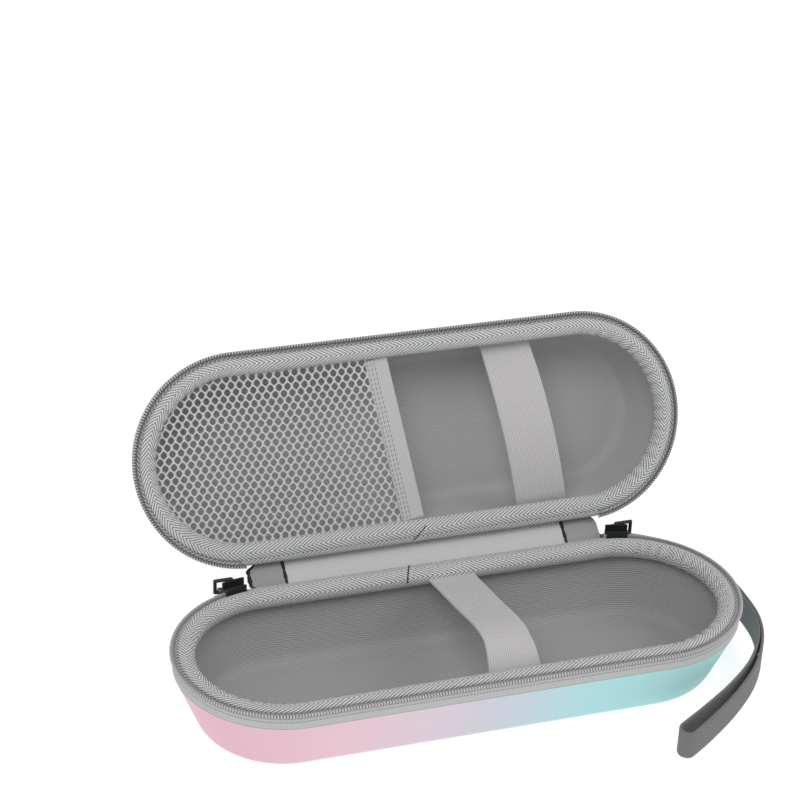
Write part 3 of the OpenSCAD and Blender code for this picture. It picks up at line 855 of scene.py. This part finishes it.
def spine_lining():
    """Light strip along the inside of the spine, tucked under the lid's edge."""
    path = upright(SPINE_SHIFT, FOLD_Y - 0.35, FOLD_LOW + 0.3, FOLD_HIGH + 1.3, count=12)
    obj = add_strip("spine_lining_strip", "spine", SPINE_LINING, path, [1, 0, 0],
                    SPINE_L + 0.4, thick=0.7, columns=30)
    return shown(obj, "spine", "spine_lining")


COVER_START = SPINE_L / 2 + 0.3
COVER_L = 15.4
COVER_HALF = 6.15
COVER_TUCK = 1.9
COVER_TOP = COVER_HALF + COVER_TUCK
BAR_STEPS = 25


def end_cover(word, side, start):
    """Grey cover over one end of the zip: the right one has round corners, the left cut ones."""
    rows, columns = 20, 13
    t = np.linspace(0, 1, rows)
    if side > 0:
        corner = np.clip((t - 0.64) / 0.36, 0, 1)
        narrow = 1 - 0.6 * (1 - np.sqrt(1 - corner ** 2 * 0.99))
    else:
        corner = np.clip((t - 0.72) / 0.28, 0, 1)
        narrow = 1 - 0.5 * corner
    swell = 0.25 * np.sin(np.pi * t)
    v = np.linspace(-1, 1, columns)
    high = v + np.clip(v, 0, 1) * COVER_TUCK / COVER_HALF
    x = np.broadcast_to(side * (start + COVER_L * t)[:, None], (rows, columns))
    z = RIM + COVER_HALF * narrow[:, None] * high
    front_y = FOLD_Y - 0.75 - swell[:, None] * (1 - v ** 2)
    back_y = np.full((rows, columns), FOLD_Y - 0.1)
    front = np.stack([x, front_y, z], axis=-1)
    back = np.stack([x, back_y, z], axis=-1)[:, ::-1]
    points = np.concatenate([front, back], axis=1)
    uv = np.stack([points[..., 0], points[..., 2]], axis=-1)
    uv = np.concatenate([uv, uv[:, :1]], axis=1)
    obj = add_tube(f"end_cover_{word}", place(points, "spine"), GARAGE, uv, crease=60)
    return shown(obj, "spine", f"zip_garage_{word}")


def crossbar(name, x, low, high, width, thick, y):
    """Thick black stitching up a cover; x is one place, or one for each of its steps."""
    v = np.linspace(0, 1, BAR_STEPS)
    ragged = 1 + 0.22 * np.sin(v * 18.0) + 0.14 * np.sin(v * 46.0 + 1.0)
    path = np.stack([np.broadcast_to(x, BAR_STEPS), np.full(BAR_STEPS, y),
                     RIM + low + v * (high - low)], axis=1)
    obj = add_strip(name, "spine", BLACK_STITCH_AND_SHADE, path, [1, 0, 0], width, thick, columns=6,
                    flare=ragged)
    return shown(obj, "spine")


def painted_shadow_strip(word, side, start):
    """Black strip along the top of a cover: painted shadow where the cover tucks under the lid's
    binding.
    """
    count = 20
    x = np.linspace(start, start + COVER_L * 0.8, count) * side
    path = np.stack([x, np.full(count, FOLD_Y - 0.6), np.full(count, RIM + COVER_TOP)], axis=1)
    obj = add_strip(f"painted_shadow_strip_{word}", "spine", BLACK_STITCH_AND_SHADE, path, [0, 0, 1],
                    width=1.0, thick=0.6, columns=6)
    return shown(obj, "spine")


def end_tape(word, side, start):
    """Outer tape behind a cover, over the end of the zip."""
    width = 13.2
    middle_x = side * (start + width / 2)
    path = upright(middle_x, FOLD_Y + 0.3, FOLD_LOW + 0.4, FOLD_HIGH - 0.4, count=10)
    obj = add_strip(f"end_tape_{word}", "spine", GARAGE, path, [1, 0, 0], width,
                    thick=0.6, columns=10)
    return shown(obj, "spine", f"zip_end_{word}")


def zip_end(side):
    """Cover over one end of the zip with its black stitching, a black strip of painted shadow
    along its top, and the tape behind it.
    """
    word = "right" if side > 0 else "left"
    start = COVER_START + side * SPINE_SHIFT
    end_cover(word, side, start)
    crossbar(f"inner_edge_{word}", side * (start + 0.4), -COVER_HALF, COVER_TOP - 0.3,
             width=1.3, thick=0.5, y=FOLD_Y - 0.75)
    if side < 0:
        corner = 4.0 * np.clip(2 * np.abs(np.linspace(-1, 1, BAR_STEPS)) - 1, 0, 1)
        crossbar("outer_edge_left", side * (start + COVER_L - 0.4 - corner),
                 -COVER_HALF * 0.92, COVER_TOP * 0.92, width=1.7, thick=0.9, y=FOLD_Y - 0.65)
    # Painted shadow between the top of the cover and the lid's binding.
    painted_shadow_strip(word, side, start)
    end_tape(word, side, start)


# Ring tab and wrist strap

DRING_X = 64.0
DRING_Z = 19.0
BAR_Y = END_R + 1.2
BAR_REACH = 1.5
COLLAR = (72.15, 54.3)
WEB = [(COLLAR[0] + 1.5, COLLAR[1]), (COLLAR[0] + 5, COLLAR[1]), (COLLAR[0] + 10, COLLAR[1]),
       (93.5, 51.8), (106, 44), (115.6, 32.6), (121.6, 19), (124.0, 5.6), (124.2, -8),
       (120.2, -20), (111, -33), (98, -44.5), (83.5, -54.5), (72, -61.5)]
WEB_T = 1.3
WEB_LOOP = 3.7
WEB_W = 12.0
WEB_LOW = 0.2


def ring_tab():
    """Webbing folded round the ring's bar and sewn to the back wall."""
    wall = END_R - WALL_IN - (LIP - DRING_Z) * np.tan(WALL_LEAN)
    a = np.radians(np.linspace(-100, 100, 14))
    loop = [(DRING_X + BAR_REACH * np.sin(q), BAR_Y + BAR_REACH * np.cos(q)) for q in a]
    left = [(DRING_X - 5.5, wall + 0.7), (DRING_X - 3.2, wall + 0.7), (DRING_X - 1.5, wall + 1.5)]
    right = [(2 * DRING_X - x, y) for x, y in left[::-1]]
    plan = curve(left + loop + right, 60)
    path = np.stack([plan[:, 0], plan[:, 1], np.full(60, DRING_Z)], axis=1)
    points, uv = ribbon(path, [0, 0, 1], width=7.0, thick=0.9, columns=10)
    lean = (points[..., 2:3] - DRING_Z) * np.tan(WALL_LEAN)
    near_wall = np.clip((BAR_Y - points[..., 1:2]) / (BAR_Y - wall), 0, 1)
    points[..., 1:2] += lean * near_wall
    obj = add_tube("ring_tab_webbing", place(points, "base"), TAB, uv)
    return shown(obj, "base", "ring_tab")


def web_plan():
    """The wrist strap from above: out along one layer, round the end of the loop and back."""
    middle = curve(WEB, 160)
    tangent = directions(middle)
    normal = np.stack([-tangent[:, 1], tangent[:, 0]], axis=1)
    opens = 0.63
    spread = np.clip((np.linspace(0, 1, len(middle)) - opens) / (1 - opens), 0, 1)
    spread = spread ** 2 * (3 - 2 * spread)
    half = (WEB_T + (WEB_LOOP - WEB_T) * spread - WEB_T / 2)[:, None]
    a = np.radians(np.linspace(0, 180, 16))[1:-1, None]
    r = WEB_LOOP - WEB_T / 2
    end = middle[-1] + r * (np.cos(a) * normal[-1] + np.sin(a) * tangent[-1])
    return np.vstack([middle + normal * half, end, (middle - normal * half)[::-1]])


def wrist_strap():
    """Doubled webbing that stands on edge and rises from its loop to the clamp."""
    plan = web_plan()
    end_y = WEB[-1][1] - WEB_LOOP
    rise = (DRING_Z - WEB_W / 2 - WEB_LOW) / (COLLAR[1] - end_y)
    tall = WEB_W * np.sqrt(1 + rise ** 2)
    z = WEB_LOW + rise * (plan[:, 1] - end_y) + tall / 2
    path = np.column_stack([plan, z])
    obj = add_strip("wrist_webbing", "wrist_loop", WRIST, path, [0, 0, 1],
                    tall, WEB_T - 0.1, columns=14)
    return shown(obj, "wrist_loop", "wrist_strap")


# Building

for half_name in ("base", "lid"):
    binding(half_name)
    binding_edge(half_name)
    lining(half_name)
    zip_tape(half_name)
    coil_core(half_name)
    coil_teeth(half_name)
    facing(half_name)
seam("base", -8.2, -11.8, 9.6)
seam("lid", -5.8, 4.0, 6.8)
base_strap()
lid_strap()
pocket_band()
pocket_net()
spine_skin("spine_skin_low", "base", "base_spine_hem")
spine_skin("spine_skin_high", "lid", "lid_spine_hem")
spine_lining()
zip_end(-1)
zip_end(1)
ring_tab()
wrist_strap()


def dress(names, material):
    """Gives carried-over solids their material."""
    for name in names:
        nodes[name].data.materials.clear()
        nodes[name].data.materials.append(material)


dress(["base_shell", "lid_shell"], FILM)
dress(["slider_left", "slider_right", "bail_left", "bail_right", "d_ring", "strap_collar"],
      BLACK_METAL)
dress(["pull_link_left", "pull_link_right"], DARK_METAL)
dress(["pull_tab_left", "pull_tab_right"], RUBBER)
dress(["split_ring"], STEEL)


# Light, floor and camera

def stand(name, data, right, up, back, where):
    """A camera or light with its axes and place, in metres."""
    obj = bpy.data.objects.new(name, data)
    bpy.context.scene.collection.objects.link(obj)
    columns = np.column_stack([right, up, back, where])
    obj.matrix_world = Matrix(np.vstack([columns, [0, 0, 0, 1]]).tolist())
    return obj


def camera():
    """The photograph's view: place and aim from angles, distance and shift."""
    azimuth, elevation, roll = np.radians([-18.0, 30.1, 2.05])
    distance, shift_x, shift_y = 961.5, -23.17, 114.6
    focal_px, picture_px, sensor = 2419.093, 800, 36
    back = np.array([np.sin(azimuth) * np.cos(elevation), -np.cos(azimuth) * np.cos(elevation),
                     np.sin(elevation)])
    level = np.array([np.cos(azimuth), np.sin(azimuth), 0])
    steep = np.cross(back, level)
    right = level * np.cos(roll) + steep * np.sin(roll)
    up = -level * np.sin(roll) + steep * np.cos(roll)
    data = bpy.data.cameras.new("camera")
    data.sensor_width = sensor
    data.lens = focal_px * sensor / picture_px
    where = (right * shift_x + up * shift_y + back * distance) * MM
    bpy.context.scene.camera = stand("camera", data, right, up, back, where)


def area_light(name, where, target, size, power):
    """A soft round light at a place, turned to a target."""
    data = bpy.data.lights.new(name, "AREA")
    data.shape = "DISK"
    data.size = size
    data.energy = power
    back = np.subtract(where, target)
    back = back / np.linalg.norm(back)
    right = np.cross([0, 0, 1], back)
    right = right / np.linalg.norm(right)
    stand(name, data, right, np.cross(back, right), back, where)


def studio():
    """Even light from all round, seen as plain white but weaker on the object."""
    lit = 0.58
    sky = bpy.data.worlds.new("studio")
    sky.use_nodes = True
    t = Tree(sky.node_tree)
    back = sky.node_tree.nodes["Background"]
    path = sky.node_tree.nodes.new("ShaderNodeLightPath")
    seen = t.math("MAXIMUM", path.outputs["Is Camera Ray"], path.outputs["Is Transmission Ray"])
    seen = t.math("MAXIMUM", seen, path.outputs["Is Glossy Ray"])
    back.inputs[0].default_value = (1, 1, 1, 1)
    t.tree.links.new(t.math("MULTIPLY_ADD", seen, 1 - lit, lit), back.inputs[1])
    bpy.context.scene.world = sky


def floor():
    """White table that keeps a faint shadow."""
    half = 1.6
    corners = [(-half, -half, 0), (half, -half, 0), (half, half, 0), (-half, half, 0)]
    material, _, shader = new_material("white_table", 0.9, specular=0.0)
    shader.inputs["Base Color"].default_value = (0.5, 0.5, 0.5, 1)
    shader.inputs["Emission Color"].default_value = (1, 1, 1, 1)
    shader.inputs["Emission Strength"].default_value = 0.72
    obj = add_mesh("table_top", corners, [[0, 1, 2, 3]], None, material)


camera()
studio()
floor()
MIDDLE = (0, 0, 0.04)
area_light("key", (-0.5, -0.7, 1.3), MIDDLE, size=0.9, power=8.5)
area_light("fill", (0.9, -0.3, 0.9), MIDDLE, size=0.8, power=3.5)

bpy.context.scene.view_settings.view_transform = "Standard"
